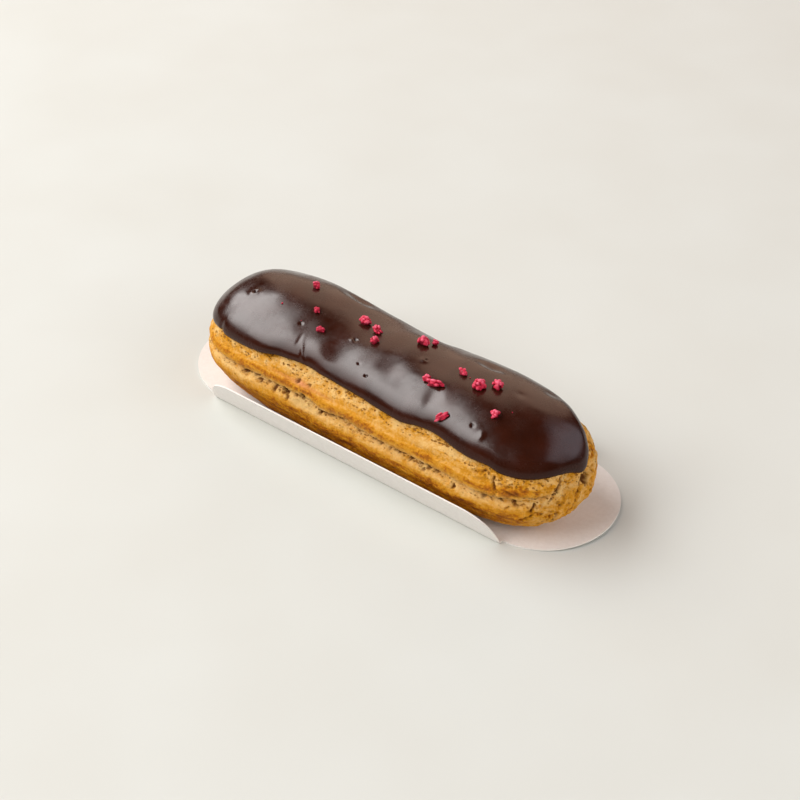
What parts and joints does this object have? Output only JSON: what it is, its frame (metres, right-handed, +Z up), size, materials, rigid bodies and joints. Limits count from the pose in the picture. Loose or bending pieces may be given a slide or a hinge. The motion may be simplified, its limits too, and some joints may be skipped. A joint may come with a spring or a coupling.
{
  "type": "chocolate eclair on a folded card",
  "caption": "Iced choux eclair with a fluted golden shell, a set chocolate cap with raspberry crumbs and a folded white card tray under it.",
  "frame": {"origin": "bottom centre of the whole part's box, on the card's underside", "axes": "+X along the eclair and the card's folds, +Y across towards the more upright flap, +Z up"},
  "size_m": [0.1576, 0.0552, 0.0409],
  "materials": {
    "choux": "baked choux crust, dry and slightly porous, golden on the flutes and paler in the grooves",
    "chocolate": "set dark chocolate icing with a satin sheen",
    "white_card": "thin uncoated off-white card",
    "dried_berry": "matt freeze-dried raspberry crumbs, bright crimson"
  },
  "bodies": {
    "root": {"choux_shell": "choux", "chocolate_icing": "chocolate", "card_tray": "white_card", "berry_crumb_a": "dried_berry", "berry_crumb_b": "dried_berry", "berry_crumb_c": "dried_berry"}
  },
  "joints": []
}
